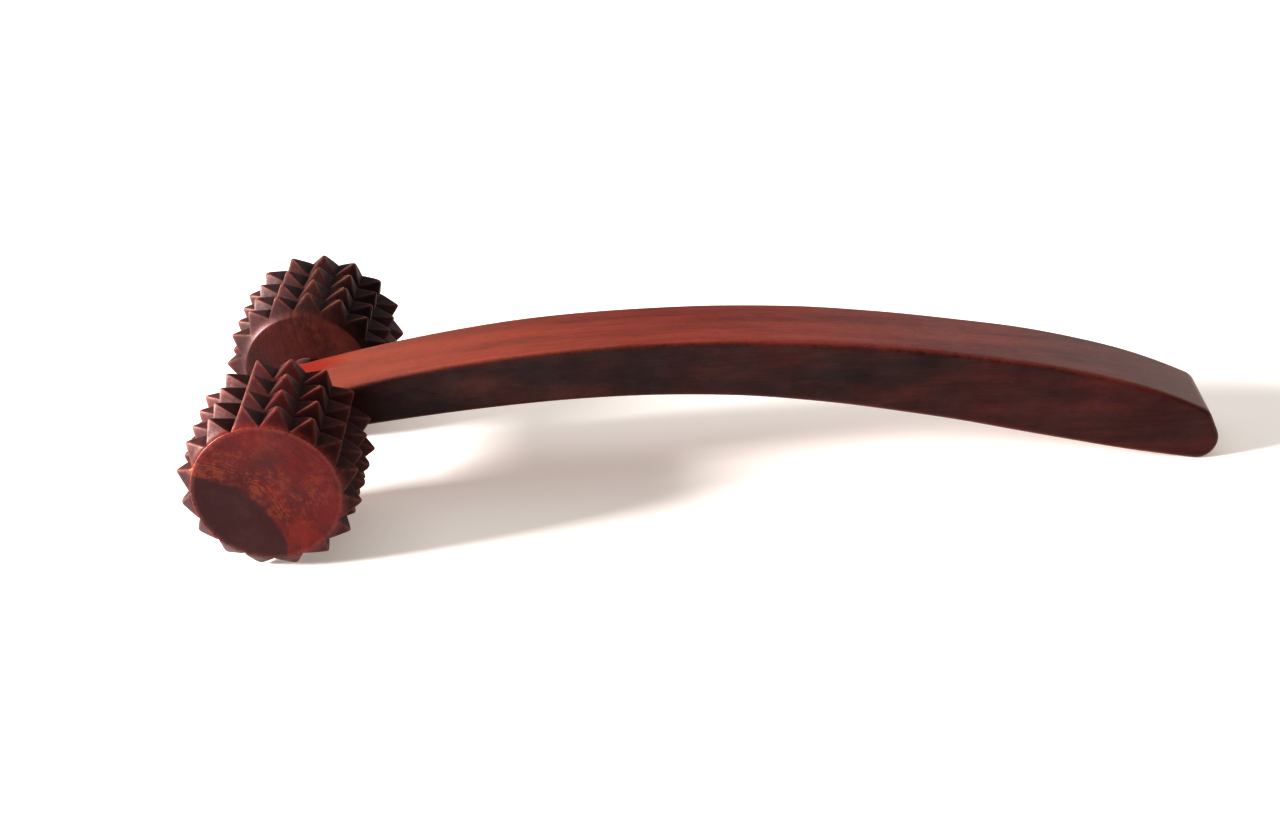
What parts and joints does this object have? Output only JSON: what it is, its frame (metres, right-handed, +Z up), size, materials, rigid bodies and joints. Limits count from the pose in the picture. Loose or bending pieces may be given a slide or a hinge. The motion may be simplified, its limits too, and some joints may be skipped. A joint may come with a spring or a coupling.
{
  "type": "foot massage roller",
  "caption": "Curved wooden handle carrying two toothed rollers on a cross axle, for rolling under or along the foot.",
  "frame": {"origin": "on the ground, under the middle of the whole object's box", "axes": "+X along the handle from the rollers to the tail, +Y across the handle along the axle, +Z up from the surface it stands on"},
  "size_m": [0.2596, 0.0936, 0.0446],
  "materials": {
    "rosewood_handle": "oiled satin, straight grain along the handle",
    "rosewood_roller": "oiled, cut teeth left from the file",
    "rosewood_spacer": "bare end grain",
    "steel_rod": "bright drawn"
  },
  "bodies": {
    "handle": {"handle": "rosewood_handle", "front_spacer": "rosewood_spacer", "rear_spacer": "rosewood_spacer"},
    "wheelset": {"front_roller": "rosewood_roller", "rear_roller": "rosewood_roller", "axle": "steel_rod"}
  },
  "joints": [
    {"name": "roller_spin", "type": "hinge", "parent": "handle", "child": "wheelset", "pos_m": [-0.1075, 0, 0.02231], "axis": [0, 1, 0], "continuous": true}
  ]
}
